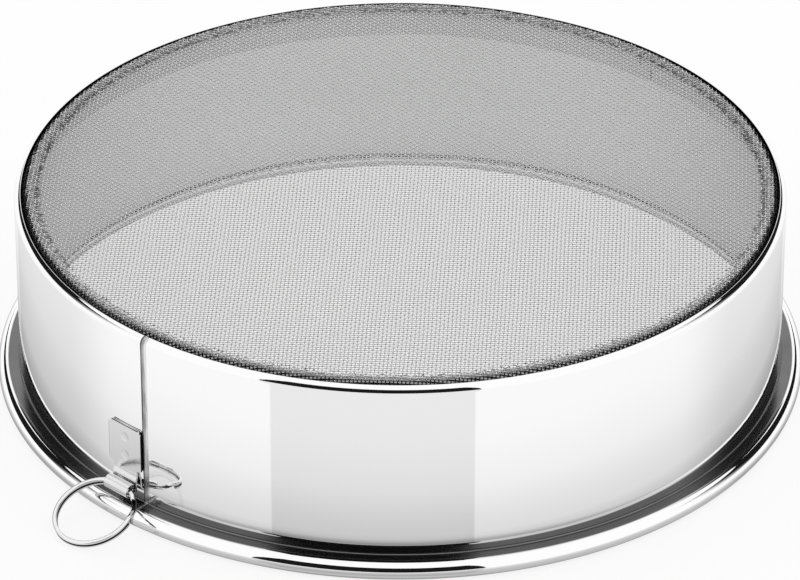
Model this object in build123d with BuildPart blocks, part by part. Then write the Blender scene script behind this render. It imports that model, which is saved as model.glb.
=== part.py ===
from build123d import *
from math import acos, atan, ceil, cos, degrees, hypot, radians, sin, sqrt
import os

# A drum sieve: a polished steel drum with woven wire cloth stretched over its upper end, an
# open lower end that stands on a rolled rim, and a split ring to hang it by.
# Frame: millimetres, +Z up along the drum's axis, the origin on that axis in the plane that the
# rim stands on, the hanger tab on the -Y side.

# Drum: one strip, rolled and welded, with a turned-in lip above, and below a flange whose edge is
# curled down and under into the rim
drum_radius = 130.0
drum_height = 69.4
sheet = 0.6
lip_radius = 2.5
lip_turn = 84
foot_bend = 0.5
rim_bead_radius = 3.1
rim_reach = 4.3
rim_flat = 1.0
rim_curl_turn = 120
seam_width = 1.6
seam_clearance = 0.08

# Woven wire cloth: two wires thick where they cross, with one bar of the net for each group of
# wires
wire = 0.35
weave_pitch = 1.3
weave_angle = 40.5
wires_per_bar_count = 10
net_bar = 1.7
net_margin = 3.0

# Hoop that the cloth is stretched over, pressed up inside the drum
hoop_sheet = 0.6
hoop_roll_radius = 2.5
hoop_reach = 5.5
hoop_rise = 1.0
hoop_depth = 14.0
hoop_slant = 25
hoop_bend = 1.2
hoop_curl_end = 290
hoop_joint = 1.0
hoop_joint_angle = 90
cloth_drop = 0.7
cloth_crease = 0.3
cloth_land = 0.4
hem_trim = 1.0

# Hanger tab: a strap with a plate, a neck and a rolled eye
tab_angle = -90
tab_sheet = 0.7
tab_gap = 0.05
tab_width = 14.8
tab_top = 33.3
tab_plate = 15.6
tab_corner = 1.8
tab_shoulder = 1.0
tab_fillet = 0.8
eye_width = 10.5
eye_height = 11.0
eye_reach = 3.3
eye_radius = 1.85
eye_curl_end = 118
joggle_height = 3.2
joggle_run = 1.6
weld_radius = 1.9
weld_dimple = 0.12
weld_spacing = 6.8

# Split ring: two turns of flattened wire, level but for one step down between them
ring_radius = 13.4
ring_wire_width = 1.4
ring_wire_height = 0.95
ring_wire_corner = 0.3
ring_turn_gap = 0.45
ring_hang = 21.4
ring_step_angle = 30
ring_step_half = 15
ring_end_half = 19

overrun = 1.0


def radial_plane(angle):
    """The upright plane through the drum's axis at an angle round it, local x outward."""
    turn = radians(angle)
    return Plane((0, 0, 0), x_dir=(cos(turn), sin(turn), 0), z_dir=(sin(turn), -cos(turn), 0))


def on_circle(centre, radius, angle):
    """A point on a circle of a section."""
    return (centre[0] + radius * cos(radians(angle)), centre[1] + radius * sin(radians(angle)))


def strip_section(angle, bends, thickness, lead=0, tail=0):
    """The section of a bent strip at an angle round the axis. Its first face follows the bends,
    each a centre, a radius, a start angle and a turn, with straight runs between them, before
    them by the lead and after them by the tail. Its second face lies a thickness to the right."""
    with BuildSketch(radial_plane(angle)) as section:
        with BuildLine():
            firsts = []
            lasts = []
            for depth in (0, thickness):
                arcs = []
                for centre, radius, start, turn in bends:
                    bend_radius = radius + depth if turn > 0 else radius - depth
                    arcs.append(CenterArc(centre, bend_radius, start, turn))
                for before, after in zip(arcs, arcs[1:]):
                    if before @ 1 != after @ 0:
                        Line(before @ 1, after @ 0)
                firsts.append(arcs[0] @ 0 - (arcs[0] % 0) * lead)
                lasts.append(arcs[-1] @ 1 + (arcs[-1] % 1) * tail)
                if lead:
                    Line(firsts[-1], arcs[0] @ 0)
                if tail:
                    Line(arcs[-1] @ 1, lasts[-1])
            Line(*firsts)
            Line(*lasts)
        make_face()
    return section.sketch


def drum_section(angle):
    """The drum's sheet from its lip down the wall, out along the flange, round and down the rim,
    in along the narrow flat that it stands on, and up again."""
    lip_centre = (drum_radius - lip_radius, drum_height - lip_radius)
    foot_centre = (drum_radius + foot_bend, 2 * rim_bead_radius + foot_bend)
    rim_centre = (drum_radius + rim_reach, rim_bead_radius)
    curl_centre = (rim_centre[0] - rim_flat, rim_bead_radius)
    bends = [
        (lip_centre, lip_radius, lip_turn, -lip_turn),
        (foot_centre, foot_bend, 180, 90),
        (rim_centre, rim_bead_radius, 90, -180),
        (curl_centre, rim_bead_radius, -90, -rim_curl_turn),
    ]
    return strip_section(angle, bends, sheet)


def write(piece, name):
    """Label a finished piece and write its file."""
    piece.part.label = name
    export_step(piece.part, f"parts/{name}.step")


os.makedirs("parts", exist_ok=True)

# Drum and seam: the same section, turned through the strip's length and through its weld
seam_angle = tab_angle + degrees((tab_width / 2 + seam_clearance + seam_width / 2) / drum_radius)
seam_span = degrees(seam_width / drum_radius)

with BuildPart() as drum_wall:
    revolve(drum_section(seam_angle + seam_span / 2), Axis.Z, 360 - seam_span)
write(drum_wall, "drum_wall")

with BuildPart() as wall_seam_weld:
    revolve(drum_section(seam_angle - seam_span / 2), Axis.Z, seam_span)
write(wall_seam_weld, "wall_seam_weld")

# Hoop: its outer face runs up the drum's wall, leans in along the slant and goes round the roll
cloth = 2 * wire
hoop_radius = drum_radius - sheet - cloth
hoop_gap = degrees(hoop_joint / hoop_radius)
hoop_bottom = drum_height + hoop_rise - hoop_depth
roll_centre = (drum_radius - hoop_reach, drum_height + hoop_rise - cloth - hoop_roll_radius)
slant = radians(hoop_slant)
knee_x = hoop_radius - hoop_bend
knee_rise = ((knee_x - roll_centre[0]) * cos(slant) - hoop_roll_radius + hoop_bend) / sin(slant)
knee_centre = (knee_x, roll_centre[1] - knee_rise)
knee = (knee_centre, hoop_bend, 0, hoop_slant)

with BuildPart() as inner_hoop:
    roll = (roll_centre, hoop_roll_radius, hoop_slant, hoop_curl_end - hoop_slant)
    hoop_lead = knee_centre[1] - hoop_bottom
    start_angle = hoop_joint_angle + hoop_gap / 2
    revolve(strip_section(start_angle, [knee, roll], -hoop_sheet, hoop_lead), Axis.Z, 360 - hoop_gap)
write(inner_hoop, "inner_hoop")

# Cloth: it lies on the hoop's outer face and leaves the roll where that brings its flat part
# down by the drop
crease_radius = cloth + cloth_crease
leave_turn = degrees(acos(1 - cloth_drop / (hoop_roll_radius + crease_radius)))
crease_centre = on_circle(roll_centre, hoop_roll_radius + crease_radius, 90 + leave_turn)
net_radius = crease_centre[0] - cloth_land
net_height = crease_centre[1] - crease_radius

with BuildPart() as mesh_hem:
    wrap = (roll_centre, hoop_roll_radius, hoop_slant, 90 + leave_turn - hoop_slant)
    crease = (crease_centre, crease_radius, leave_turn - 90, -leave_turn)
    hem_lead = knee_centre[1] - hoop_bottom - hem_trim
    revolve(strip_section(0, [knee, wrap, crease], cloth, hem_lead, cloth_land), Axis.Z)
write(mesh_hem, "mesh_hem")

net_pitch = wires_per_bar_count * weave_pitch
net_gap = net_pitch - net_bar
net_reach = net_radius - net_margin
net_rows = 2 * ceil(net_reach / net_pitch) + 1
weave_turn = radians(weave_angle)
net_plane = Plane((0, 0, net_height), x_dir=(cos(weave_turn), sin(weave_turn), 0))

with BuildPart() as mesh_cloth:
    with BuildSketch(net_plane):
        Circle(net_radius)
        cells = GridLocations(net_pitch, net_pitch, net_rows, net_rows).local_locations
        corner = hypot(net_gap, net_gap) / 2
        inside = [c for c in cells if hypot(c.position.X, c.position.Y) + corner < net_reach]
        with Locations(*inside):
            Rectangle(net_gap, net_gap, mode=Mode.SUBTRACT)
    extrude(amount=cloth)
write(mesh_cloth, "mesh_cloth")

# Hanger tab: the strap's side view, joggled out to the eye, then cut to its outline from the
# front, with holes for the two weld spots
tab_back = drum_radius + tab_gap
eye_outer = eye_radius + tab_sheet
eye_centre = (drum_radius + eye_reach, eye_height)
strap_back = eye_centre[0] - eye_outer
shoulder_height = tab_top - tab_plate
joggle_step = strap_back - tab_back
joggle_radius = (joggle_height**2 + joggle_step**2) / (4 * joggle_step)
joggle_turn = degrees(2 * atan(joggle_step / joggle_height))
joggle_top = shoulder_height - joggle_run
joggle_bottom = joggle_top - joggle_height
weld_middle = (tab_top + shoulder_height) / 2

with BuildPart() as hanger_tab:
    strap_bends = [
        ((tab_back + joggle_radius, joggle_top), joggle_radius, 180, joggle_turn),
        ((strap_back - joggle_radius, joggle_bottom), joggle_radius, joggle_turn, -joggle_turn),
        (eye_centre, eye_outer, 180, 180 + eye_curl_end),
    ]
    side_view = strip_section(tab_angle, strap_bends, -tab_sheet, tab_top - joggle_top)
    extrude(side_view, tab_width / 2, both=True)
    with BuildSketch(Plane.XZ) as tab_outline:
        with BuildLine():
            Polyline(
                (0, tab_top),
                (tab_width / 2, tab_top),
                (tab_width / 2, shoulder_height),
                (eye_width / 2, shoulder_height),
                (eye_width / 2, eye_height - eye_outer - overrun),
                (0, eye_height - eye_outer - overrun),
            )
            mirror(about=Plane.YZ)
        make_face()
        levels = vertices().group_by(Axis.Y)
        fillet(levels[-1], tab_corner)
        fillet(levels[1].sort_by(Axis.X)[0::3], tab_shoulder)
        fillet(levels[1].sort_by(Axis.X)[1:3], tab_fillet)
    extrude(amount=drum_radius + eye_reach + eye_outer + overrun, mode=Mode.INTERSECT)
    with BuildSketch(Plane.XZ.offset(drum_radius)):
        with Locations((0, weld_middle)), GridLocations(weld_spacing, weld_spacing, 1, 2):
            Circle(weld_radius)
    extrude(amount=tab_gap + tab_sheet + overrun, mode=Mode.SUBTRACT)
write(hanger_tab, "hanger_tab")

with BuildPart() as tab_welds:
    with BuildSketch(Plane.XZ.offset(drum_radius - overrun)):
        with Locations((0, weld_middle)), GridLocations(weld_spacing, weld_spacing, 1, 2):
            Circle(weld_radius)
    extrude(amount=overrun + tab_gap + tab_sheet - weld_dimple)
    Cylinder(drum_radius, tab_top, align=(Align.CENTER, Align.CENTER, Align.MIN), mode=Mode.SUBTRACT)
write(tab_welds, "tab_welds")

# Split ring: one length of wire, an upper turn, one step down and a lower turn. The eye holds
# it where the wire's curve is shared evenly about the eye's middle.
eye_sagitta = ring_radius - sqrt(ring_radius**2 - (eye_width / 2) ** 2)
ring_throw = ring_radius - eye_sagitta / 2
hang = radians(ring_hang)
ring_middle = (0, -eye_centre[0] - ring_throw * cos(hang), eye_centre[1] - ring_throw * sin(hang))
ring_plane = Plane(ring_middle, x_dir=(1, 0, 0), z_dir=(0, -sin(hang), cos(hang)))
turn_height = (ring_wire_height + ring_turn_gap) / 2
upper_start = ring_step_angle + ring_end_half
upper_turn_size = 360 - ring_end_half - ring_step_half
lower_start = ring_step_angle + ring_step_half
step_middle = (
    hypot(ring_radius, turn_height) * cos(radians(ring_step_angle)),
    hypot(ring_radius, turn_height) * sin(radians(ring_step_angle)),
    0,
)

with BuildPart() as split_ring:
    with BuildLine(ring_plane) as ring_path:
        upper = CenterArc((0, 0, turn_height), ring_radius, upper_start, upper_turn_size)
        step = TangentArc(upper @ 1, ring_plane.from_local_coords(step_middle), tangent=upper % 1)
        lower = CenterArc((0, 0, -turn_height), ring_radius, lower_start, upper_turn_size)
        TangentArc(step @ 1, lower @ 0, tangent=step % 1)
    with BuildSketch(Plane(upper @ 0, x_dir=ring_plane.z_dir, z_dir=upper % 0)):
        Rectangle(ring_wire_height, ring_wire_width)
        chamfer(vertices(), ring_wire_corner)
    sweep(path=ring_path.wires()[0])
write(split_ring, "split_ring")

# The wire's least gap to itself, measured between points of its line a half turn or more apart
count = 720
line = ring_path.wires()[0]
points = [ring_plane.to_local_coords(line @ (i / count)) for i in range(count + 1)]
gaps = []
for i, a in enumerate(points):
    for b in points[i + count // 4 :]:
        apart = max(0, hypot(a.X - b.X, a.Y - b.Y) - ring_wire_width)
        above = max(0, abs(a.Z - b.Z) - ring_wire_height)
        gaps.append(hypot(apart, above))
print(f"split ring: least gap of the wire to itself {min(gaps):.2f} mm")
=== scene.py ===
"""A drum sieve of polished steel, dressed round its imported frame: drum, seam, hoop, woven
cloth, hanger tab and split ring, with their finishes, on a plain studio table."""

from math import acos, atan, cos, hypot, pi, radians, sin, sqrt

import bmesh
import bpy
import numpy as np
from mathutils import Matrix, Vector


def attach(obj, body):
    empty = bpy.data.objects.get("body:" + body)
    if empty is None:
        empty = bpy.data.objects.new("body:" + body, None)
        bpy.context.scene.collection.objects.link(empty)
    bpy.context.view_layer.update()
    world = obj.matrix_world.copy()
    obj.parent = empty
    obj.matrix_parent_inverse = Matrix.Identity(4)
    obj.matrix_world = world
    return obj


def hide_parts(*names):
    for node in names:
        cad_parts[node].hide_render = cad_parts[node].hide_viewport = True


bl_info = {
    "name": "Drum Sieve",
    "version": (1, 0, 0),
    "blender": (4, 5, 0),
    "location": "3D View > Sidebar > Drum Sieve",
    "description": "Builds a drum sieve of polished steel and woven wire cloth",
    "category": "Add Mesh",
}

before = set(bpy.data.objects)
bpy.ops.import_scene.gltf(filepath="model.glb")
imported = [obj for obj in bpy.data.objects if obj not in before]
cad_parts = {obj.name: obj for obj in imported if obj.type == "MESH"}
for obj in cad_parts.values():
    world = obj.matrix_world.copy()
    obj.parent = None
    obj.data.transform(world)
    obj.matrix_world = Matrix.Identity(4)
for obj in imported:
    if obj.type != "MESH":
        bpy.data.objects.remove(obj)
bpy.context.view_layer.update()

WHITE = (1, 1, 1, 1)
UP = Vector((0, 0, 1))
TANGENT = Vector((0, 1, 0))
TOUCHING = 1e-6  # metres; closer points are one


def size(name, default, description):
    """A length that a user can set, in metres."""
    return bpy.props.FloatProperty(
        name=name, description=description, default=default, min=0, precision=5,
        unit="LENGTH", subtype="DISTANCE",
    )


def angle(name, default, description):
    """An angle that a user can set, given here in degrees."""
    return bpy.props.FloatProperty(
        name=name, description=description, default=radians(default), subtype="ANGLE"
    )


def colour(name, default, description):
    """A plain colour that a user can set."""
    return bpy.props.FloatVectorProperty(
        name=name, description=description, default=(default, default, default), size=3,
        min=0, max=1, subtype="COLOR",
    )


class DrumSizes(bpy.types.PropertyGroup):
    """Sizes of the drum's sheet, lip and rim"""

    radius: size("Radius", 0.130, "Outside radius of the drum's wall")
    height: size("Height", 0.0694, "Height of the lip's top")
    sheet: size("Sheet", 0.0006, "Thickness of the drum's sheet")
    lip_radius: size("Lip radius", 0.0025, "Outer radius of the turned-in lip")
    lip_turn: angle("Lip turn", 84, "How far the lip turns in")
    foot_bend: size("Foot bend", 0.0005, "Bend radius between wall and flange")
    bead_radius: size("Bead radius", 0.0031, "Outer radius of the rolled rim")
    bead_reach: size("Bead reach", 0.0043, "From the wall to the rim's middle")
    bead_flat: size("Bead flat", 0.001, "Width of the rim pressed flat")
    curl_turn: angle("Curl turn", 120, "How far the rim curls up inside")
    crease: size("Crease", 0.00012, "Depth of the crease beside the rim")
    seam_width: size("Seam width", 0.0016, "Width of the welded seam")
    seam_angle: angle("Seam angle", -86.3507, "Where the seam stands")
    seam_crown: size("Seam crown", 0.00003, "Height of the weld over the sheet")
    ground_width: size("Ground width", 0.00175, "From the seam's middle to the band's end")
    foot_height: size("Foot height", 0.0109, "Top of the less polished foot")
    edge: size("Edge", 0.00008, "Rounding of the sheet's cut edges")


class HoopSizes(bpy.types.PropertyGroup):
    """Sizes of the hoop inside the drum"""

    sheet: size("Sheet", 0.0006, "Thickness of the hoop's sheet")
    roll: size("Roll", 0.0025, "Outer radius of the hoop's rolled edge")
    reach: size("Reach", 0.0055, "From the drum's outside to the roll's middle")
    rise: size("Rise", 0.001, "Height of the cloth above the lip")
    depth: size("Depth", 0.014, "Height of the hoop and its cloth")
    slant: angle("Slant", 25, "Lean of the hoop's upper part")
    bend: size("Bend", 0.0012, "Bend radius at the foot of the slant")
    curl_end: angle("Curl end", 290, "Where the rolled edge ends")
    joint: size("Joint", 0.001, "Open joint between the hoop's ends")
    joint_angle: angle("Joint angle", 90, "Where the joint stands")


class ClothSizes(bpy.types.PropertyGroup):
    """Sizes of the woven wire cloth"""

    wire: size("Wire", 0.00035, "Thickness of one wire")
    pitch: size("Pitch", 0.0013, "From one wire's middle to the next")
    turn: angle("Turn", 40.5, "Direction of the wires")
    drop: size("Drop", 0.0007, "From the cloth's top to its flat part")
    crease: size("Crease", 0.0003, "Radius of the crease inside the roll")
    trim: size("Trim", 0.001, "From the hoop's foot to the cloth's edge")
    wander: size("Wander", 0.00007, "How far a wire strays from its line")
    pucker: size("Pucker", 0.00010, "Height of the puckers over the roll")
    pucker_lead: size("Pucker lead", 0.003, "Length over which the puckers grow")
    pucker_end: size("Pucker end", 0.1305, "Where the puckers end along the cloth")


class TabSizes(bpy.types.PropertyGroup):
    """Sizes of the hanger tab and its welds"""

    sheet: size("Strap", 0.0007, "Thickness of the strap")
    gap: size("Gap", 0.00005, "From the drum to the strap")
    width: size("Width", 0.0148, "Width of the plate")
    top: size("Top", 0.0333, "Height of the plate's top")
    plate: size("Plate", 0.0156, "Height of the plate over its shoulders")
    corner: size("Corner", 0.0018, "Radius of the plate's upper corners")
    shoulder: size("Shoulder", 0.001, "Radius of the plate's shoulders")
    fillet: size("Fillet", 0.0008, "Radius between neck and plate")
    neck: size("Neck", 0.0105, "Width of the neck and the eye")
    eye_height: size("Eye height", 0.011, "Height of the eye's middle")
    eye_reach: size("Eye reach", 0.0033, "From the drum to the eye's middle")
    eye_radius: size("Eye radius", 0.00185, "Inner radius of the eye")
    eye_end: angle("Eye end", 118, "Where the eye's curl ends")
    joggle: size("Joggle", 0.0032, "Height of the step out from plate to eye")
    joggle_run: size("Joggle run", 0.0016, "From the shoulders down to the step")
    spot: size("Weld spot", 0.0019, "Radius of a weld spot")
    spot_spacing: size("Weld spacing", 0.0068, "Between the two weld spots")
    spot_dish: size("Weld dish", 0.00012, "Depth of a weld spot's dish")
    edge: size("Edge", 0.00012, "Rounding of the strap's edges")


class RingSizes(bpy.types.PropertyGroup):
    """Sizes of the split ring"""

    radius: size("Radius", 0.0134, "Radius of the wire's middle line")
    wire_width: size("Wire width", 0.0014, "Width of the wire across the ring")
    wire_height: size("Wire height", 0.00095, "Height of the wire")
    wire_corner: size("Wire corner", 0.0003, "Rounding of the wire")
    turn_gap: size("Turn gap", 0.00045, "Between the two turns")
    hang: angle("Hang", 21.4, "How far below level the ring hangs")
    step_angle: angle("Step angle", 30, "Where the wire steps between turns")
    step_half: angle("Step half", 15, "Half of the step's length")
    end_half: angle("End half", 19, "From the step's middle to the wire's ends")


class Colours(bpy.types.PropertyGroup):
    """Colours of the metals and of the stage"""

    mirror: colour("Mirror steel", 0.99, "Polished sheet of the drum")
    inside: colour("Drum's inside", 0.70, "Unpolished inside")
    # Painted shade: the lower wall and the flange are darkened to this tone.
    foot: colour("Foot", 0.64, "Less polished foot of the wall")
    ground: colour("Ground band", 0.80, "Band ground along the seam")
    # Corner between wall and rim: partly a duller finish, and its dark tone is painted shade.
    dull_shaded_groove: colour("Groove", 0.22, "Dull corner between wall and rim")
    weld: colour("Weld", 0.66, "Ground weld of the seam")
    # Tone of the weld's darker left edge.
    left_edge_tone: colour("Burnt edge", 0.16, "Burnt edge of the weld")
    # Dull sheet, and its dark tone is partly painted shade under the cloth.
    hoop: colour("Hoop", 0.40, "Dull rolled sheet of the hoop")
    wire: colour("Wire", 0.90, "Drawn wire of the cloth")
    tab: colour("Tab", 0.84, "Polished strap of the tab")
    ring: colour("Ring", 0.93, "Plated wire of the split ring")
    # Painted shadow in the gap between the drum's lip and the cloth.
    lip_gap_shade: colour("Dirt", 0.02, "Dirt beside the drum's lip")
    # The tab's side and top edges are painted dark, standing in for their dark reflections.
    cut: colour("Cut edges", 0.04, "Sheared edges")
    # Painted shade in the gap between the ring's turns.
    ring_gap_shade: colour("Ring's dirt", 0.03, "Dirt between the turns")
    table: colour("Table", 0.98, "Studio table")
    card: colour("Card", 0.01, "Black cards")


class StageSizes(bpy.types.PropertyGroup):
    """The camera, the front card behind it and the side cards"""

    azimuth: angle("Azimuth", 43.5, "Where the camera stands")
    elevation: angle("Elevation", 31.2, "How far the camera looks down")
    distance: size("Distance", 1.958, "From the camera to its aim")
    aim_height: size("Aim height", 0.0274, "Height of the camera's aim")
    aim_left: size("Aim left", 0.0001, "From the axis left to the camera's aim")
    lens: bpy.props.FloatProperty(
        name="Lens", description="Focal length on a 36 mm sensor", default=258.7, unit="CAMERA",
    )
    table: size("Table", 6.0, "Half the width of the table")
    shade_out: size("Shade outside", 0.1, "Reach of the drum's shade outside it")
    shade_in: size("Shade inside", 0.06, "Reach of the drum's shade inside it")
    card_distance: size("Card distance", 3.0, "From the axis to the cards")
    front_top: angle("Front card's top", 50, "Top of the front card")
    front_left: angle("Front card's left", -38, "Left end of the front card")
    front_right: angle("Front card's right", 21.6, "Right end of the front card")
    side_bottom: angle("Side cards' bottom", 20, "Bottom of the side cards")
    side_top: angle("Side cards' top", 44, "Top of the side cards")
    side_near: angle("Side cards' near end", 88, "From the camera round to their near ends")
    side_far: angle("Side cards' far end", 160, "From the camera round to their far ends")


# Shapes


def everything(bm):
    """All of a bmesh's geometry, as most operators want it."""
    return bm.verts[:] + bm.edges[:] + bm.faces[:]


def on_circle(centre, radius, angle):
    """A point on a circle of a section, in radius and height."""
    return centre + Vector((cos(angle), sin(angle))) * radius


def in_section(point):
    """A point of the section, in radius and height, as a point in space."""
    return Vector((point[0], 0, point[1]))


def turn_round(bm, angle):
    """Turn a bmesh about the drum's axis."""
    bmesh.ops.rotate(bm, verts=bm.verts, cent=(0, 0, 0), matrix=Matrix.Rotation(angle, 3, "Z"))


class Drawing:
    """Geometry that grows from its tip by straight runs and by bends: a vertex draws a line, a
    row of edges a strip, and a loop of edges a tube."""

    def __init__(self, bm, tip):
        self.bm = bm
        self.tip = tip

    def grow(self, shift=(0, 0, 0), centre=(0, 0, 0), axis=UP, turn=0.0, steps=1):
        """Extrude the tip by a shift, a turn or both, for each step."""
        made = bmesh.ops.spin(
            self.bm, geom=self.tip, cent=centre, axis=axis, dvec=shift, angle=turn,
            steps=steps, use_merge=False,
        )
        self.tip = made["geom_last"]

    def run(self, along, support=0.0):
        """A straight run, with a row of its own near each end where a support is given."""
        share = support / along.length
        places = [0, share, 1 - share, 1] if share else [0, 1]
        for before, after in zip(places, places[1:]):
            self.grow(shift=along * (after - before))

    def bend(self, centre, turn, steps):
        """A bend in the section, anticlockwise where the turn is positive."""
        self.grow(centre=in_section(centre), axis=TANGENT, turn=-turn, steps=steps)


def section_line(start):
    """A drawing of a line in the section, from a point in radius and height."""
    bm = bmesh.new()
    return Drawing(bm, [bm.verts.new(in_section(start))])


def thicken(bm, thickness, side=1):
    """Thicken a surface inwards to the drum's axis, or outwards where the side is -1."""
    bmesh.ops.recalc_face_normals(bm, faces=bm.faces)
    probe = max(bm.faces, key=lambda f: f.calc_area())
    middle = probe.calc_center_median()
    if side * probe.normal.dot(Vector((middle.x, middle.y, 0))) < 0:
        bmesh.ops.reverse_faces(bm, faces=bm.faces)
    bmesh.ops.solidify(bm, geom=bm.faces[:], thickness=thickness)


def revolved_sheet(bm, start, turn, steps, thickness):
    """Turn a section line round the drum's axis and thicken the surface."""
    turn_round(bm, start)
    Drawing(bm, everything(bm)).grow(turn=turn, steps=steps)
    thicken(bm, thickness)


def round_off(bm, geom, width, segments=2, affect="EDGES"):
    """Round edges, or the corners of an outline."""
    bmesh.ops.bevel(
        bm, geom=geom, offset=width, offset_type="OFFSET", segments=segments, profile=0.5,
        affect=affect, clamp_overlap=True, material=-1,
    )


def is_cut(edge):
    """Whether two faces meet at an edge as sharply as at a cut."""
    return edge.is_manifold and edge.calc_face_angle() > radians(60)


def rim_edges(bm):
    """The sheet's cut edges that run round the drum."""
    found = []
    for edge in filter(is_cut, bm.edges):
        a, b = (v.co for v in edge.verts)
        if abs(a.z - b.z) < TOUCHING and abs(a.xy.length - b.xy.length) < TOUCHING:
            found.append(edge)
    return found


def mesh_of(name, bm):
    """A finished bmesh as a mesh."""
    mesh = bpy.data.meshes.new(name)
    bm.to_mesh(mesh)
    bm.free()
    return mesh


def new_object(name, data):
    """A new object in the scene."""
    made = bpy.data.objects.new(name, data)
    bpy.context.scene.collection.objects.link(made)
    return made


def new_piece(name, bm, *rest, **more):
    """A finished bmesh as a piece."""
    piece_of(name, mesh_of(name, bm), *rest, **more)


def piece_of(name, mesh, slot, nodes, body="drum", sharp=40):
    """A finished mesh as an object that rides on a body and stands for its nodes."""
    mesh.shade_smooth()
    mesh.set_sharp_from_angle(angle=radians(sharp))
    mesh.materials.append(bpy.data.materials[slot])
    piece = new_object(name, mesh)
    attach(piece, body)
    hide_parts(*nodes)


def drum_line(drum):
    """The drum's section: from the lip down the wall, out along the flange, round the rim and
    up inside it."""
    lip_centre = Vector((drum.radius - drum.lip_radius, drum.height - drum.lip_radius))
    flange = 2 * drum.bead_radius
    foot_centre = Vector((drum.radius + drum.foot_bend, flange + drum.foot_bend))
    bead_centre = Vector((drum.radius + drum.bead_reach, drum.bead_radius))
    curl_centre = bead_centre - Vector((drum.bead_flat, 0))
    dip = Vector((4 * drum.crease, 0, -drum.crease))
    level = bead_centre.x - foot_centre.x - 2 * dip.x
    line = section_line(on_circle(lip_centre, drum.lip_radius, drum.lip_turn))
    line.bend(lip_centre, -drum.lip_turn, steps=20)
    line.run(UP * (foot_centre.y - lip_centre.y), support=0.0003)
    line.bend(foot_centre, pi / 2, steps=8)
    line.run(Vector((level, 0, 0)), support=0.0002)
    line.run(dip)
    line.run(Vector((dip.x, 0, -dip.z)))
    line.bend(bead_centre, -pi, steps=36)
    line.run(Vector((-drum.bead_flat, 0, 0)), support=0.0001)
    line.bend(curl_centre, -drum.curl_turn, steps=24)
    return line.bm


def drum_wall(drum):
    """The drum's sheet, open where the seam closes it."""
    bm = drum_line(drum)
    seam = drum.seam_width / drum.radius
    revolved_sheet(bm, drum.seam_angle + seam / 2, 2 * pi - seam, 384, drum.sheet)
    round_off(bm, rim_edges(bm), drum.edge)
    new_piece("drum_shell", bm, "mirror_steel", ["drum_wall"])


def drum_seam(drum):
    """The ground weld that closes the drum, with a slight crown."""
    bm = drum_line(drum)
    seam = drum.seam_width / drum.radius
    revolved_sheet(bm, drum.seam_angle - seam / 2, seam, 6, drum.sheet)
    outward = Vector((cos(drum.seam_angle), sin(drum.seam_angle)))
    bm.normal_update()
    for vertex in bm.verts:
        off = outward.cross(vertex.co.xy) / (drum.seam_width / 2)
        vertex.co += vertex.normal * drum.seam_crown * max(0, 1 - off**2)
        vertex.co.z = max(vertex.co.z, 0)
    new_piece("seam_weld", bm, "weld_steel", ["wall_seam_weld"])


class HoopSection:
    """Places of the hoop's section, in radius and height."""

    def __init__(self, drum, hoop, cloth):
        self.cloth = 2 * cloth.wire
        self.radius = drum.radius - drum.sheet - self.cloth
        self.bottom = drum.height + hoop.rise - hoop.depth
        top = drum.height + hoop.rise - self.cloth
        self.roll_centre = Vector((drum.radius - hoop.reach, top - hoop.roll))
        knee_x = self.radius - hoop.bend
        reach = (knee_x - self.roll_centre.x) * cos(hoop.slant) - hoop.roll + hoop.bend
        self.knee_centre = Vector((knee_x, self.roll_centre.y - reach / sin(hoop.slant)))
        knee_end = on_circle(self.knee_centre, hoop.bend, hoop.slant)
        self.slant_run = on_circle(self.roll_centre, hoop.roll, hoop.slant) - knee_end


def hoop_sheet(drum, hoop, cloth):
    """The hoop's sheet: up the drum's wall, in along the slant and round the roll."""
    section = HoopSection(drum, hoop, cloth)
    line = section_line((section.radius, section.bottom))
    line.run(UP * (section.knee_centre.y - section.bottom), support=0.0003)
    line.bend(section.knee_centre, hoop.slant, steps=5)
    line.run(in_section(section.slant_run), support=0.0003)
    line.bend(section.roll_centre, hoop.curl_end - hoop.slant, steps=40)
    joint = hoop.joint / section.radius
    revolved_sheet(line.bm, hoop.joint_angle + joint / 2, 2 * pi - joint, 360, hoop.sheet)
    round_off(line.bm, rim_edges(line.bm), drum.edge)
    new_piece("hoop_band", line.bm, "hoop_steel", ["inner_hoop"])


def doubled(bm, shift, times):
    """Repeat a bmesh along a shift, twice as often each time."""
    for _ in range(times):
        copy = bmesh.ops.duplicate(bm, geom=everything(bm))
        moved = [g for g in copy["geom"] if isinstance(g, bmesh.types.BMVert)]
        bmesh.ops.translate(bm, verts=moved, vec=shift)
        shift = shift * 2


def flat_wires(cloth, reach):
    """Half of the cloth's wires of one direction, laid flat along X on the side of positive Y,
    each stepping over and under the wires that cross it, and cut to a round outline."""
    bm = bmesh.new()
    start = Vector((cloth.pitch / 2, cloth.pitch / 2, cloth.wire / 2))
    place = Matrix.Translation(start) @ Matrix.Rotation(pi / 2, 4, "Y")
    bmesh.ops.create_circle(bm, segments=4, radius=0.55 * cloth.wire, matrix=place)
    wire = Drawing(bm, everything(bm))
    wire.grow(shift=(cloth.pitch, 0, -cloth.wire))
    wire.grow(shift=(cloth.pitch, 0, cloth.wire))
    periods = 7
    rows = 6
    doubled(bm, Vector((2 * cloth.pitch, 0, 0)), periods)
    bmesh.ops.remove_doubles(bm, verts=bm.verts, dist=TOUCHING)
    bmesh.ops.recalc_face_normals(bm, faces=bm.faces)
    bmesh.ops.translate(bm, verts=bm.verts, vec=(-(2**periods) * cloth.pitch, 0, 0))
    doubled(bm, Vector((cloth.pitch, cloth.pitch, 0)), 1)
    doubled(bm, Vector((0, 2 * cloth.pitch, 0)), rows)
    outside = [v for v in bm.verts if v.co.xy.length > reach]
    bmesh.ops.delete(bm, geom=outside, context="VERTS")
    ends = [e for e in bm.edges if e.is_boundary]
    bmesh.ops.holes_fill(bm, edges=ends, sides=4)
    return mesh_of("flat_wires", bm)


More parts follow.
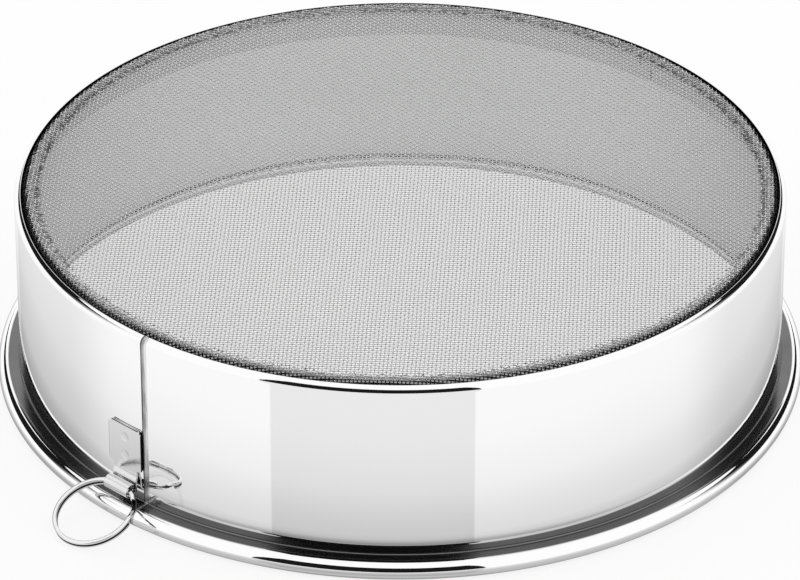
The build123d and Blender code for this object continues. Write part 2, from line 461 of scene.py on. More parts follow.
def waves(along, lengths, seed):
    """A sum of sines of the given lengths, about one high, with phases from a seed."""
    phases = np.random.default_rng(seed).uniform(0, 2 * pi, len(lengths))
    total = sum(np.sin(2 * pi * along / length + p) for length, p in zip(lengths, phases))
    return total / sqrt(len(lengths))


class ClothCourse:
    """The middle line of the cloth's section from the axis outwards: flat, up at the crease,
    over the roll, down the slant and the hoop's wall."""

    def __init__(self, drum, hoop, cloth):
        section = HoopSection(drum, hoop, cloth)
        half = section.cloth / 2
        crease = cloth.crease + half
        roll = hoop.roll + half
        rise = acos(1 - cloth.drop / (crease + roll))
        crease_centre = on_circle(section.roll_centre, crease + roll, pi / 2 + rise)
        self.height = crease_centre.y - crease
        down = section.knee_centre.y - section.bottom - cloth.trim
        self.stretches = [
            (crease_centre.x, 0),
            (crease * rise, 1 / crease),
            (roll * (rise + pi / 2 - hoop.slant), -1 / roll),
            (section.slant_run.length, 0),
            ((hoop.bend + half) * hoop.slant, -1 / (hoop.bend + half)),
            (down, 0),
        ]
        self.roll_start = crease_centre.x + crease * rise
        self.length = sum(length for length, _ in self.stretches)

    def follow(self, travelled):
        """Radii, heights and headings at distances along the course."""
        radius = np.zeros_like(travelled)
        height = np.full_like(travelled, self.height)
        heading = np.zeros_like(travelled)
        left = travelled.copy()
        for length, curve in self.stretches:
            step = np.clip(left, 0, length)
            left = left - step
            turned = heading + curve * step
            if curve:
                radius += (np.sin(turned) - np.sin(heading)) / curve
                height += (np.cos(heading) - np.cos(turned)) / curve
            else:
                radius += np.cos(heading) * step
                height += np.sin(heading) * step
            heading = turned
        return radius, height, heading


def shaped_wires(flat, turn, cloth, course):
    """A copy of flat wires, turned, strayed a little and laid along the cloth's course."""
    mesh = flat.copy()
    mesh.transform(Matrix.Rotation(cloth.turn, 4, "Z") @ turn)
    points = np.empty(len(mesh.vertices) * 3, np.float32)
    mesh.vertices.foreach_get("co", points)
    x, y, lift = points.reshape(-1, 3).astype(float).T
    lengths = np.array((0.031, 0.047, 0.063))
    strays = waves(y + 0.4 * x, lengths, 1), waves(x - 0.3 * y, lengths, 2)
    x, y = x + cloth.wander * strays[0], y + cloth.wander * strays[1]
    travelled = np.hypot(x, y)
    azimuth = np.arctan2(y, x)
    radius, height, heading = course.follow(travelled)
    over = np.clip((travelled - course.roll_start) / cloth.pucker_lead, 0, 1)
    puckers = waves(azimuth / (2 * pi), 1 / np.array((97.0, 143.0, 211.0, 307.0)), 3)
    lift = lift + cloth.pucker * puckers * over * (2 - over) * (travelled < cloth.pucker_end)
    radius = radius - np.sin(heading) * lift
    height = height + np.cos(heading) * lift
    points = np.stack((radius * np.cos(azimuth), radius * np.sin(azimuth), height), 1)
    mesh.vertices.foreach_set("co", points.astype(np.float32).ravel())
    mesh.update()
    return mesh


def cloth_wires(drum, hoop, cloth):
    """All the cloth's wires, as two halves of each direction."""
    course = ClothCourse(drum, hoop, cloth)
    flat = flat_wires(cloth, course.length)
    half_turn = Matrix.Rotation(pi, 4, "Z")
    crossing = Matrix.Rotation(pi, 4, Vector((1, 1, 0)))
    turns = {
        "warp_right": Matrix.Identity(4),
        "warp_left": half_turn,
        "weft_right": crossing,
        "weft_left": half_turn @ crossing,
    }
    for name, turn in turns.items():
        mesh = shaped_wires(flat, turn, cloth, course)
        piece_of(name, mesh, "wire_cloth", ["mesh_cloth", "mesh_hem"], sharp=120)
    bpy.data.meshes.remove(flat)


class TabSection:
    """Places of the hanger tab's strap, in radius and height."""

    def __init__(self, drum, tab):
        self.back = drum.radius + tab.gap
        self.eye_outer = tab.eye_radius + tab.sheet
        self.eye_centre = Vector((drum.radius + tab.eye_reach, tab.eye_height))
        self.shoulders = tab.top - tab.plate
        step = self.eye_centre.x - self.eye_outer - self.back
        self.joggle_radius = (tab.joggle**2 + step**2) / (4 * step)
        self.joggle_turn = 2 * atan(step / tab.joggle)
        self.joggle_top = self.shoulders - tab.joggle_run
        self.joggle_bottom = self.joggle_top - tab.joggle
        self.weld_middle = (tab.top + self.shoulders) / 2


def tab_blank(section, tab):
    """The tab's flat part, one sheet with rounded corners and holes for the weld spots."""
    bm = bmesh.new()
    corner = (section.back, -tab.neck / 2, section.joggle_top)
    neck = Drawing(bm, [bm.verts.new(corner)])
    neck.run(Vector((0, tab.neck, 0)), support=2 * tab.edge)
    upward = Drawing(bm, bm.verts[:] + bm.edges[:])
    upward.grow(shift=UP * tab.joggle_run)
    upward.grow(shift=UP * tab.plate)
    wing = (tab.width - tab.neck) / 2
    for side in (-1, 1):
        edges = [
            e for e in bm.edges
            if all(abs(v.co.y - side * tab.neck / 2) < TOUCHING for v in e.verts)
            and all(v.co.z > section.shoulders - TOUCHING for v in e.verts)
        ]
        outward = Drawing(bm, [v for e in edges for v in e.verts] + edges)
        outward.grow(shift=(0, side * wing, 0))
    bmesh.ops.remove_doubles(bm, verts=bm.verts, dist=TOUCHING)
    bmesh.ops.dissolve_faces(bm, faces=bm.faces[:], use_verts=False)
    loose = [v for v in bm.verts if not v.link_faces]
    bmesh.ops.delete(bm, geom=loose, context="VERTS")

    roundings = [
        (tab.width, tab.top, tab.corner),
        (tab.width, section.shoulders, tab.shoulder),
        (tab.neck, section.shoulders, tab.fillet),
    ]
    for width, height, radius in roundings:
        corners = [
            v for v in bm.verts
            if abs(abs(v.co.y) - width / 2) < TOUCHING and abs(v.co.z - height) < TOUCHING
        ]
        round_off(bm, corners, radius, 10, "VERTICES")
    for side in (-1, 1):
        middle = Vector((section.back, 0, section.weld_middle + side * tab.spot_spacing / 2))
        place = Matrix.Translation(middle) @ Matrix.Rotation(pi / 2, 4, "Y")
        bmesh.ops.create_circle(bm, segments=40, radius=tab.spot, matrix=place)
    bmesh.ops.delete(bm, geom=bm.faces[:], context="FACES_ONLY")
    bmesh.ops.triangle_fill(bm, use_beauty=True, edges=bm.edges[:], normal=(-1, 0, 0))
    return bm, [v for v in bm.verts if abs(v.co.z - section.joggle_top) < TOUCHING]


def tab_strap(drum, tab):
    """The hanger tab: its blank, joggled out from the plate and rolled into the eye."""
    section = TabSection(drum, tab)
    bm, foot = tab_blank(section, tab)
    row = [e for e in bm.edges if all(v in foot for v in e.verts)]
    strap = Drawing(bm, foot + row)
    out = Vector((section.back + section.joggle_radius, section.joggle_top))
    strap.bend(out, section.joggle_turn, steps=6)
    back = section.eye_centre.x - section.eye_outer - section.joggle_radius
    strap.bend(Vector((back, section.joggle_bottom)), -section.joggle_turn, steps=6)
    strap.run(UP * (section.eye_centre.y - section.joggle_bottom))
    strap.bend(section.eye_centre, pi + tab.eye_end, steps=48)
    thicken(bm, tab.sheet, side=-1)

    def by_spot(vertex):
        """Whether a vertex lies round a weld spot."""
        height = abs(vertex.co.z - section.weld_middle) - tab.spot_spacing / 2
        return hypot(vertex.co.y, height) < tab.spot + 10 * TOUCHING

    rims = [e for e in bm.edges if is_cut(e) and not all(map(by_spot, e.verts))]
    round_off(bm, rims, tab.edge, segments=3)
    for side in (-1, 1):
        flat = [
            f for f in bm.faces
            if f.normal.x * side > 0.9999 and f.calc_center_median().z > section.joggle_top
        ]
        bmesh.ops.inset_region(bm, faces=flat, thickness=tab.edge, use_even_offset=True)
    turn_round(bm, -pi / 2)
    new_piece("hanger_strap", bm, "tab_steel", ["hanger_tab"], sharp=50)


def tab_spots(drum, tab):
    """The two weld spots: dished discs that fill the holes of the strap."""
    section = TabSection(drum, tab)
    bm = bmesh.new()
    face = section.back + tab.sheet
    for side in (-1, 1):
        middle = section.weld_middle + side * tab.spot_spacing / 2
        line = Drawing(bm, [bm.verts.new((face - tab.spot_dish, 0, middle))])
        for rise, out in ((0, 0.55), (0.4, 0.2), (0.4, 0.15), (0.2, 0.1)):
            line.run(Vector((rise * tab.spot_dish, 0, out * tab.spot)))
        line.run(Vector((drum.radius - drum.sheet / 2 - face, 0, 0)))
        line.run(UP * -tab.spot)
        drawn = [v for v in bm.verts if v.link_edges and not v.link_faces]
        edges = [e for e in bm.edges if not e.link_faces]
        bmesh.ops.spin(
            bm, geom=drawn + edges, cent=(0, 0, middle), axis=(1, 0, 0), dvec=(0, 0, 0),
            angle=2 * pi, steps=40, use_merge=True,
        )
    bmesh.ops.remove_doubles(bm, verts=bm.verts, dist=TOUCHING)
    bmesh.ops.recalc_face_normals(bm, faces=bm.faces)
    turn_round(bm, -pi / 2)
    new_piece("weld_spots", bm, "tab_steel", ["tab_welds"], sharp=50)


def ring_middle(drum, tab, ring):
    """The ring's middle at rest, hanging in the eye."""
    eye = TabSection(drum, tab).eye_centre
    sagitta = ring.radius - sqrt(ring.radius**2 - (tab.neck / 2) ** 2)
    throw = ring.radius - sagitta / 2
    return Vector((0, -eye.x - throw * cos(ring.hang), eye.y - throw * sin(ring.hang)))


def ring_wire(drum, tab, ring):
    """The split ring: an upper turn of flattened wire, one step down and a lower turn."""
    middle = ring_middle(drum, tab, ring)
    rise = (ring.wire_height + ring.turn_gap) / 2
    start = ring.step_angle + ring.end_half
    turn = 2 * pi - ring.end_half - ring.step_half

    bm = bmesh.new()
    stand = Matrix.Translation((ring.radius, 0, rise)) @ Matrix.Rotation(pi / 2, 4, "X")
    shape = Matrix.Diagonal((ring.wire_width / 2, ring.wire_height / 2, 1, 1))
    bmesh.ops.create_grid(bm, x_segments=1, y_segments=1, size=1, matrix=stand @ shape)
    round_off(bm, bm.verts[:], ring.wire_corner, 4, "VERTICES")
    wire = Drawing(bm, bm.verts[:] + bm.edges[:])
    wire.grow(turn=turn, steps=108)
    steps = 14
    share = 0.0
    for step in range(1, steps + 1):
        part = step / steps
        eased = part * part * (3 - 2 * part)
        wire.grow(shift=UP * -2 * rise * (eased - share), turn=2 * ring.step_half / steps)
        share = eased
    wire.grow(turn=turn, steps=108)
    last = [g for g in wire.tip if isinstance(g, bmesh.types.BMEdge)]
    bmesh.ops.contextual_create(bm, geom=last)
    bmesh.ops.recalc_face_normals(bm, faces=bm.faces)
    round_off(bm, list(filter(is_cut, bm.edges)), ring.wire_corner / 3)
    hang = Matrix.Translation(middle) @ Matrix.Rotation(ring.hang, 4, "X")
    turn_round(bm, start)
    bmesh.ops.transform(bm, verts=bm.verts, matrix=hang)
    new_piece("split_ring_wire", bm, "ring_steel", ["split_ring"], body="ring", sharp=50)


# Finishes


class Value:
    """A value that varies over a surface, worked with Python's own signs."""

    def __init__(self, finish, socket):
        self.finish = finish
        self.socket = socket

    def maths(self, operation, *others):
        """The result of a sum of this value and others, in their order."""
        inputs = dict(enumerate((self, *others)))
        return self.finish.node("ShaderNodeMath", {"operation": operation}, inputs)

    def __add__(self, other):
        return self.maths("ADD", other)

    def __sub__(self, other):
        return self.maths("SUBTRACT", other)

    def __rsub__(self, other):
        return self.maths("MULTIPLY", -1).maths("ADD", other)

    def __mul__(self, other):
        return self.maths("MULTIPLY", other)

    __radd__ = __add__
    __rmul__ = __mul__


class Finish:
    """A material and its nodes."""

    def __init__(self, name):
        self.material = bpy.data.materials.get(name) or bpy.data.materials.new(name)
        self.material.use_nodes = True
        self.tree = self.material.node_tree
        self.tree.nodes.clear()

    def node(self, kind, settings=None, inputs=None, output=0):
        """Add a node with its settings, then its inputs, and give one of its outputs."""
        node = self.tree.nodes.new(kind)
        for key, value in (settings or {}).items():
            if key == "stops":
                stops = node.color_ramp.elements
                while len(stops) < len(value):
                    stops.new(1)
                for stop, (place, grey) in zip(stops, value):
                    stop.position = place
                    stop.color = (grey, grey, grey, 1)
            else:
                setattr(node, key, value)
        for key, value in (inputs or {}).items():
            if isinstance(value, Value):
                self.tree.links.new(value.socket, node.inputs[key])
            else:
                node.inputs[key].default_value = value
        return Value(self, node.outputs[output])

    def place(self, scale=(1, 1, 1), turn=(0, 0, 0)):
        """Places on the object, stretched by a scale of its own for each axis."""
        where = self.node("ShaderNodeTexCoord", output="Object")
        inputs = {"Vector": where, "Scale": scale, "Rotation": turn}
        return self.node("ShaderNodeMapping", inputs=inputs)

    def noise(self, scale, detail=2.0, upright=1, turn=(0, 0, 0)):
        """Noise from 0 to 1. Its blotches measure one over the scale, in metres, and their
        height is divided by what upright says."""
        where = self.place((scale, scale, scale * upright), turn)
        inputs = {"Vector": where, "Scale": 1.0, "Detail": detail}
        return self.node("ShaderNodeTexNoise", inputs=inputs)

    def radius(self):
        """The distance from the drum's axis."""
        settings = {"operation": "LENGTH"}
        return self.node("ShaderNodeVectorMath", settings, {0: self.place((1, 1, 0))}, output=1)

    def along(self, direction):
        """How far along a direction, from the middle of the drum's foot."""
        settings, inputs = {"operation": "DOT_PRODUCT"}, {0: self.place(), 1: direction}
        return self.node("ShaderNodeVectorMath", settings, inputs, output=1)

    def rise(self, value, start, end):
        """0 up to one limit of the value, 1 from the other, and smooth between."""
        inputs = {"Value": value, "From Min": start, "From Max": end}
        settings = {"interpolation_type": "SMOOTHSTEP"}
        return self.node("ShaderNodeMapRange", settings, inputs)

    def above(self, value, level, blur):
        """1 where the value is above a level and 0 below it, with a soft edge."""
        return self.rise(value, level - blur, level + blur)

    def below(self, value, level, blur):
        """1 where the value is below a level and 0 above it, with a soft edge."""
        return self.rise(value, level + blur, level - blur)

    def shade(self, value, darkest, colour):
        """A colour, darkened where the value falls to 0."""
        dark = tuple(darkest * c for c in colour) + (1,)
        return self.mixed(value, dark, (*colour, 1))

    def mixed(self, share, first, second):
        """A colour between two, or two values."""
        inputs = {0: share, 6: first, 7: second}
        return self.node("ShaderNodeMix", {"data_type": "RGBA"}, inputs, output=2)

    def relief(self, height, depth):
        """The normal of a surface with a relief, its depth in metres."""
        inputs = {"Height": height, "Distance": depth, "Strength": 1.0}
        return self.node("ShaderNodeBump", inputs=inputs)

    def show(self, shader):
        """Make a shader the material's surface."""
        end = self.tree.nodes.new("ShaderNodeOutputMaterial")
        self.tree.links.new(shader.socket, end.inputs["Surface"])

    def metal(self, base, roughness, normal):
        """Bare metal, as the material's surface."""
        inputs = {"Base Color": base, "Metallic": 1, "Roughness": roughness, "Normal": normal}
        self.show(self.node("ShaderNodeBsdfPrincipled", inputs=inputs))


def beside_seam(finish, drum):
    """How far round from the seam's middle, on the seam's side of the drum."""
    return finish.along(Vector((-sin(drum.seam_angle), cos(drum.seam_angle), 0)))


def mirror_steel(scene):
    """Mirror polished sheet outside: faint roll lines round the drum, wiped haze and hairlines.
    Its inside is left as rolled. The lower wall and the flange are darkened with painted shade,
    the corner above the rim is duller and darker still with painted shade, the lip's turned-in
    edge is painted nearly black as the shadow of its gap, and a ground band runs along the
    seam."""
    drum = scene.sieve_drum
    colours = scene.sieve_colours
    finish = Finish("mirror_steel")
    haze = finish.noise(14, detail=4)
    lines = finish.noise(9, detail=5, upright=260)
    hairs = finish.noise(60, detail=6, upright=40, turn=(0.5, 0.2, 0))
    radius = finish.radius()
    height = finish.along(UP)
    blur = 0.0002
    lip = Vector((drum.radius - drum.lip_radius, drum.height - drum.lip_radius))
    inside = finish.below(radius, drum.radius - 1.25 * blur, blur / 2)
    inside = inside * finish.below(height, lip.y - 1.5 * blur, 3 * blur)
    flange = 2 * drum.bead_radius
    flange_end = drum.radius + drum.bead_reach - 2.5 * drum.crease
    corner = finish.below(radius, flange_end, blur)
    corner = corner * finish.above(height, flange - 2 * drum.foot_bend, blur)
    # The corner between wall and rim is duller, and darkened with painted shade.
    dull_shaded_groove = corner * finish.below(height, flange + drum.foot_bend + blur, blur)
    # Lower wall and flange, darkened with painted shade.
    foot = corner * finish.below(height, drum.foot_height, 5.5 * blur)
    # The lip's turned-in edge is painted nearly black as the shadow of its gap.
    lip_slit_shade = finish.rise(radius, lip.x + 2.25 * blur, lip.x + blur)
    beside = beside_seam(finish, drum)
    facing = finish.along(Vector((cos(drum.seam_angle), sin(drum.seam_angle), 0)))
    band = finish.below(beside, drum.ground_width, 0.75 * blur)
    band = band * finish.above(beside, drum.seam_width / 2 - blur, blur)
    on_wall = finish.above(height, flange + 1.5 * blur, drum.foot_bend)
    ground = band * on_wall * finish.above(facing, drum.radius / 2, drum.sheet)
    scratches = finish.noise(1500, detail=4, upright=0.05)
    wear = 0.6 * haze + 0.4 * lines
    polished = finish.shade(wear, 0.985, colours.mirror)
    polished = finish.mixed(foot, polished, finish.shade(hairs, 0.8, colours.foot))
    streaks = finish.rise(scratches, 0.42, 0.58)
    polished = finish.mixed(ground, polished, finish.shade(streaks, 0.65, colours.ground))
    rolled = finish.mixed(inside, polished, finish.shade(wear, 0.8, colours.inside))
    base = finish.mixed(dull_shaded_groove, rolled, finish.shade(hairs, 0.6, colours.dull_shaded_groove))
    base = finish.mixed(lip_slit_shade, base, (*colours.lip_gap_shade, 1))
    roughness = 0.015 + 0.03 * haze * lines + 0.01 * hairs
    roughness = roughness + 0.3 * inside + 0.2 * (dull_shaded_groove + ground)
    ripple = finish.noise(22, detail=1) * 0.8 + 0.2 * lines
    finish.metal(base, roughness, finish.relief(ripple, 0.000012))


def weld_steel(scene):
    """Ground weld: short scratches along the seam, dark blotches and a darker left edge."""
    finish = Finish("weld_steel")
    drum = scene.sieve_drum
    colours = scene.sieve_colours
    scratches = finish.noise(1500, detail=4, upright=0.06)
    blotches = finish.noise(420, detail=3, upright=0.35)
    streaks = finish.rise(0.55 * scratches + 0.45 * blotches, 0.38, 0.58)
    part = drum.seam_width / 16
    # The weld is darker along its left edge.
    left = finish.rise(beside_seam(finish, drum), part, -5 * part)
    ground = finish.shade(streaks, 0.5, colours.weld)
    base = finish.mixed(left, ground, finish.shade(streaks, 0.3, colours.left_edge_tone))
    relief = finish.relief(scratches + 0.6 * blotches, 0.00004)
    finish.metal(base, 0.30 + 0.25 * scratches, relief)


def hoop_steel(scene):
    """Dull rolled sheet with mill lines round the hoop, its dark tone partly painted shade
    under the cloth.
    """
    finish = Finish("hoop_steel")
    colours = scene.sieve_colours
    lines = finish.noise(12, detail=5, upright=220)
    haze = finish.noise(30, detail=3)
    base = finish.shade(0.5 * haze + 0.5 * lines, 0.86, colours.hoop)
    finish.metal(base, 0.26 + 0.2 * lines, finish.relief(lines, 0.00001))


def wire_cloth(scene):
    """Drawn wire: bright, a little dull in patches and along each wire. Over the roll it is
    speckled with painted shade and painted glints, darker with painted shade at the crease
    inside it, and painted nearly black as shadow where it goes down by the lip."""
    finish = Finish("wire_cloth")
    drum, hoop, cloth = scene.sieve_drum, scene.sieve_hoop, scene.sieve_cloth
    colours = scene.sieve_colours
    section = HoopSection(drum, hoop, cloth)
    radius = finish.radius()
    blur = 0.0002
    crease = section.roll_centre.x - hoop.roll - section.cloth
    # From the crease outwards the wire is speckled with painted shade.
    over = finish.above(radius, crease - blur, 2.5 * blur)
    # Over the roll's crest the wire is whitened with painted glints.
    crest_highlight = finish.above(radius, crease + cloth.pitch, 3 * blur)
    low = finish.below(finish.along(UP), drum.height + hoop.rise / 2, blur)
    lip = drum.radius - drum.lip_radius
    # Where the cloth goes down by the lip it is painted nearly black as the shadow of the gap.
    lipside_shade = low * finish.above(radius, lip - 3 * section.cloth, blur)
    # Speckle that paints shade and glints over the roll.
    shade_and_glint_specks = finish.rise(finish.noise(800, detail=2), 0.44, 0.54)
    draw = finish.noise(900, detail=3)
    haze = finish.noise(18, detail=3)
    base = finish.shade(0.5 * haze + 0.5 * draw, 0.82, colours.wire)
    base = finish.mixed(over, base, finish.shade(shade_and_glint_specks, 0.2, colours.wire))
    base = finish.mixed(crest_highlight, base, finish.shade(shade_and_glint_specks, 0.55, (1, 1, 1)))
    base = finish.mixed(lipside_shade, base, (*colours.lip_gap_shade, 1))
    finish.metal(base, 0.1 + 0.14 * haze, finish.relief(draw, 0.00001))


def tab_steel(scene):
    """Polished strap: fine grain down the strap, handling marks, and its side and top edges
    painted dark as their dark reflections.
    """
    finish = Finish("tab_steel")
    tab = scene.sieve_tab
    colours = scene.sieve_colours
    grain = finish.noise(1400, detail=4, upright=0.04)
    marks = finish.noise(240, detail=5)
    base = finish.shade(0.5 * grain + 0.5 * marks, 0.9, colours.tab)
    # Side and top edges painted dark, standing in for their dark reflections.
    cut = 5 / 6 * tab.edge
    sideways = finish.along(Vector((1, 0, 0))).maths("ABSOLUTE")
    side = finish.above(sideways, tab.width / 2 - cut, tab.edge / 2)
    middle = scene.sieve_drum.radius + tab.gap + tab.sheet / 2
    top = finish.above(finish.along(UP), tab.top - cut, tab.edge / 2)
    top = top * finish.above(finish.radius(), middle, tab.edge / 2)
    base = finish.mixed(side.maths("MAXIMUM", top), base, (*colours.cut, 1))
    roughness = 0.05 + 0.09 * marks + 0.05 * grain
    finish.metal(base, roughness, finish.relief(0.5 * grain + marks, 0.000012))


def ring_steel(scene):
    """Plated wire: bright, with fine wear from the eye and the other turn, and painted shade
    between the turns."""
    finish = Finish("ring_steel")
    colours = scene.sieve_colours
    ring = scene.sieve_ring
    middle = ring_middle(scene.sieve_drum, scene.sieve_tab, ring)
    across = Vector((0, -sin(ring.hang), cos(ring.hang)))
    level = (finish.along(across) - middle.dot(across)).maths("ABSOLUTE")
    corner = 0.7 * ring.wire_corner
    # Painted shade in the gap between the two turns.
    between = finish.below(level, ring.turn_gap / 2 + corner, ring.wire_corner / 4)
    wear = finish.noise(500, detail=4)
    scuffs = finish.noise(2200, detail=3, upright=0.3)
    base = finish.shade(0.6 * wear + 0.4 * scuffs, 0.88, colours.ring)
    base = finish.mixed(between, base, (*colours.ring_gap_shade, 1))
    finish.metal(base, 0.05 + 0.12 * wear, finish.relief(wear + 0.5 * scuffs, 0.00001))


def table_finish(scene):
    """A pale table that shows white to the camera and keeps its shadows. To the metal it shows
    itself a little glossy, and darker towards the drum's foot, a painted shadow of the drum."""
    finish = Finish("table")
    stage = scene.sieve_stage
    edge = scene.sieve_drum.radius
    grain = finish.noise(40, detail=3)
    seen = finish.node("ShaderNodeLightPath", output="Is Camera Ray")
    mirrored = finish.node("ShaderNodeLightPath", output="Is Glossy Ray")
    through = finish.node("ShaderNodeLightPath", output="Is Transmission Ray")
    pale = finish.shade(grain, 0.98, scene.sieve_colours.table)
    plain = finish.node("ShaderNodeBsdfDiffuse", inputs={"Color": pale})
    radius = finish.radius()
    out = finish.rise(radius, edge, edge + stage.shade_out)
    out = out + 0.7 * finish.rise(radius, edge, edge - stage.shade_in)
    # Painted shadow of the drum on the table, seen only in reflections.
    stops = ((0, 0.20), (0.02, 0.46), (0.10, 0.71), (0.45, 0.90), (0.84, 0.98), (1, 1))
    drum_shadow_tone = finish.node("ShaderNodeValToRGB", {"stops": stops}, {"Fac": out})
    glow = finish.mixed(mirrored, WHITE, drum_shadow_tone)
    white = finish.node("ShaderNodeEmission", inputs={"Color": glow, "Strength": 1.0})
    share = 0.8 * (seen + through) + mirrored
    lit = finish.node("ShaderNodeMixShader", inputs={0: share, 1: plain, 2: white})
    gloss = finish.node("ShaderNodeBsdfGlossy", inputs={"Roughness": 0.02})
    inputs = {0: 0.17 * mirrored, 1: lit, 2: gloss}
    finish.show(finish.node("ShaderNodeMixShader", inputs=inputs))


def camera_side(stage):
    """The level direction from the table's middle to the camera."""
    return Vector((sin(stage.azimuth), -cos(stage.azimuth), 0))


def card_finish(stage, colours):
    """Black card, which fades to white in the light beside the table."""
    finish = Finish("black_card")
    grain = finish.noise(3, detail=2)
    along = finish.along(camera_side(stage) / stage.card_distance)
    behind = finish.rise(along, 0.05, -0.45)
    before = finish.rise(along, 0.25, 0.3)
    tone = finish.mixed(behind + before, WHITE, finish.shade(grain, 0.97, colours.card))
    finish.show(finish.node("ShaderNodeEmission", inputs={"Color": tone}))


# Stage


def stage_piece(name, bm, finish):
    """A piece of the stage, which isn't part of the sieve."""
    mesh = mesh_of(name, bm)
    mesh.materials.append(bpy.data.materials[finish])
    piece = new_object(name, mesh)
    return piece


def studio_table(stage):
    """The table's top, just under the drum's foot."""
    bm = bmesh.new()
    bmesh.ops.create_grid(bm, x_segments=1, y_segments=1, size=stage.table)
    stage_piece("studio_table", bm, "table")


def card(stage, name, first, last, bottom, top):
    """A black card that only reflections show, standing round the table between two directions,
    as seen from above, anticlockwise from the camera, and between two elevations."""
    bm = bmesh.new()
    start = stage.azimuth - pi / 2 + first
    heights = [stage.card_distance * sin(level) / cos(level) for level in (bottom, top)]
    foot = Vector((cos(start), sin(start), 0)) * stage.card_distance + UP * heights[0]
    line = Drawing(bm, [bm.verts.new(foot)])
    line.run(UP * (heights[1] - heights[0]))
    Drawing(bm, everything(bm)).grow(turn=last - first, steps=24)
    piece = stage_piece(name, bm, "black_card")
    for ray in ("camera", "diffuse", "shadow", "transmission"):
        setattr(piece, f"visible_{ray}", False)


def studio_light(strength):
    """Even white light from all sides."""
    world = bpy.data.worlds.new("studio_light")
    world.use_nodes = True
    back = world.node_tree.nodes["Background"]
    back.inputs["Color"].default_value = WHITE
    back.inputs["Strength"].default_value = strength
    bpy.context.scene.world = world


def photo_camera(stage):
    """The camera at the photograph's angle."""
    right = Vector((cos(stage.azimuth), sin(stage.azimuth), 0))
    aim = UP * stage.aim_height - right * stage.aim_left
    back = camera_side(stage) * cos(stage.elevation) + UP * sin(stage.elevation)
    lens = bpy.data.cameras.new("photo_camera")
    lens.lens = stage.lens
    lens.clip_start = 0.05
    camera = new_object("photo_camera", lens)
    camera.location = aim + back * stage.distance
    camera.rotation_euler = back.to_track_quat("Z", "Y").to_euler()
    bpy.context.scene.camera = camera


# Operators and panel


class SieveOperator:
    """What the sieve's operators share"""

    bl_options = {"REGISTER", "UNDO"}


class SIEVE_OT_finishes(SieveOperator, bpy.types.Operator):
    """Make the finishes of the metals"""

    bl_idname = "sieve.finishes"
    bl_label = "Finishes"

    def execute(self, context):
        for make in (mirror_steel, weld_steel, hoop_steel, wire_cloth, tab_steel, ring_steel):
            make(context.scene)
        return {"FINISHED"}


class SIEVE_OT_drum(SieveOperator, bpy.types.Operator):
    """Make the drum's sheet and its welded seam"""

    bl_idname = "sieve.drum"
    bl_label = "Drum and seam"

    def execute(self, context):
        drum_wall(context.scene.sieve_drum)
        drum_seam(context.scene.sieve_drum)
        return {"FINISHED"}


class SIEVE_OT_hoop(SieveOperator, bpy.types.Operator):
    """Make the hoop inside the drum"""

    bl_idname = "sieve.hoop"
    bl_label = "Hoop"

    def execute(self, context):
        scene = context.scene
        hoop_sheet(scene.sieve_drum, scene.sieve_hoop, scene.sieve_cloth)
        return {"FINISHED"}


class SIEVE_OT_cloth(SieveOperator, bpy.types.Operator):
    """Weave the wire cloth over the hoop"""

    bl_idname = "sieve.cloth"
    bl_label = "Wire cloth"

    def execute(self, context):
        scene = context.scene
        cloth_wires(scene.sieve_drum, scene.sieve_hoop, scene.sieve_cloth)
        return {"FINISHED"}


class SIEVE_OT_tab(SieveOperator, bpy.types.Operator):
    """Make the hanger tab and its weld spots"""

    bl_idname = "sieve.tab"
    bl_label = "Hanger tab"

    def execute(self, context):
        scene = context.scene
        tab_strap(scene.sieve_drum, scene.sieve_tab)
        tab_spots(scene.sieve_drum, scene.sieve_tab)
        return {"FINISHED"}


class SIEVE_OT_ring(SieveOperator, bpy.types.Operator):
    """Make the split ring"""

    bl_idname = "sieve.ring"
    bl_label = "Split ring"

    def execute(self, context):
        scene = context.scene
        ring_wire(scene.sieve_drum, scene.sieve_tab, scene.sieve_ring)
        return {"FINISHED"}


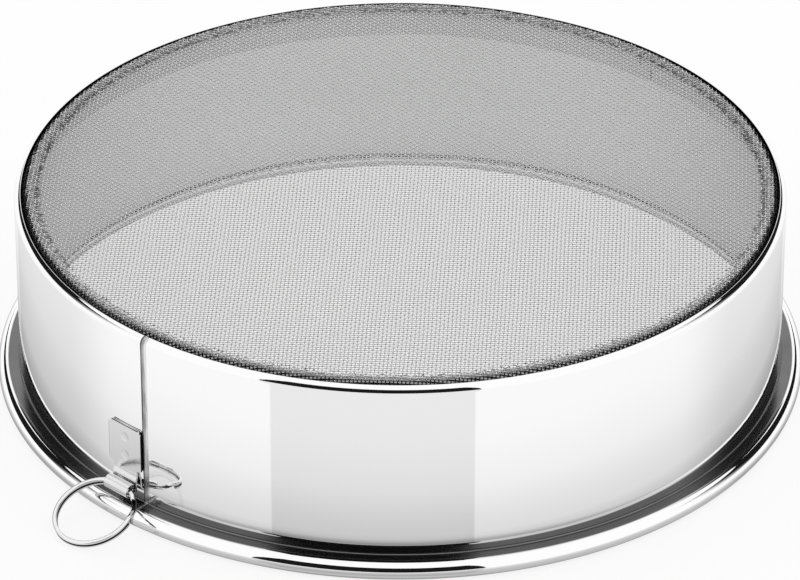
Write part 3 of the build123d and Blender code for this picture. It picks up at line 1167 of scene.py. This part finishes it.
class SIEVE_OT_stage(SieveOperator, bpy.types.Operator):
    """Set up the table, the cards, the light and the camera"""

    bl_idname = "sieve.stage"
    bl_label = "Stage"

    def execute(self, context):
        stage = context.scene.sieve_stage
        table_finish(context.scene)
        card_finish(stage, context.scene.sieve_colours)
        studio_table(stage)
        front = (stage.front_left, stage.front_right, 0, stage.front_top)
        card(stage, "black_card_front", *front)
        sides = (stage.side_bottom, stage.side_top)
        card(stage, "black_card_right", stage.side_near, stage.side_far, *sides)
        card(stage, "black_card_left", -stage.side_far, -stage.side_near, *sides)
        studio_light(1.0)
        photo_camera(stage)
        context.scene.view_settings.view_transform = "Standard"
        return {"FINISHED"}


OPERATORS = (
    SIEVE_OT_finishes, SIEVE_OT_drum, SIEVE_OT_hoop, SIEVE_OT_cloth, SIEVE_OT_tab,
    SIEVE_OT_ring, SIEVE_OT_stage,
)


class SIEVE_PT_panel(bpy.types.Panel):
    """Lists the steps that build the sieve"""

    bl_idname = "SIEVE_PT_panel"
    bl_label = "Drum Sieve"
    bl_space_type = "VIEW_3D"
    bl_region_type = "UI"
    bl_category = "Drum Sieve"

    def draw(self, context):
        for operator in OPERATORS:
            self.layout.operator(operator.bl_idname)


GROUPS = {
    "sieve_drum": DrumSizes,
    "sieve_hoop": HoopSizes,
    "sieve_cloth": ClothSizes,
    "sieve_tab": TabSizes,
    "sieve_ring": RingSizes,
    "sieve_colours": Colours,
    "sieve_stage": StageSizes,
}


def register():
    """Register the groups, operators and panel."""
    for name, group in GROUPS.items():
        bpy.utils.register_class(group)
        setattr(bpy.types.Scene, name, bpy.props.PointerProperty(type=group))
    for cls in (*OPERATORS, SIEVE_PT_panel):
        bpy.utils.register_class(cls)


def unregister():
    """Take the groups, operators and panel away again."""
    for cls in reversed((*OPERATORS, SIEVE_PT_panel)):
        bpy.utils.unregister_class(cls)
    for name, group in reversed(GROUPS.items()):
        delattr(bpy.types.Scene, name)
        bpy.utils.unregister_class(group)


def main():
    """Build the sieve and its stage."""
    register()
    bpy.ops.sieve.finishes()
    bpy.ops.sieve.drum()
    bpy.ops.sieve.hoop()
    bpy.ops.sieve.cloth()
    bpy.ops.sieve.tab()
    bpy.ops.sieve.ring()
    bpy.ops.sieve.stage()


if __name__ == "__main__":
    main()
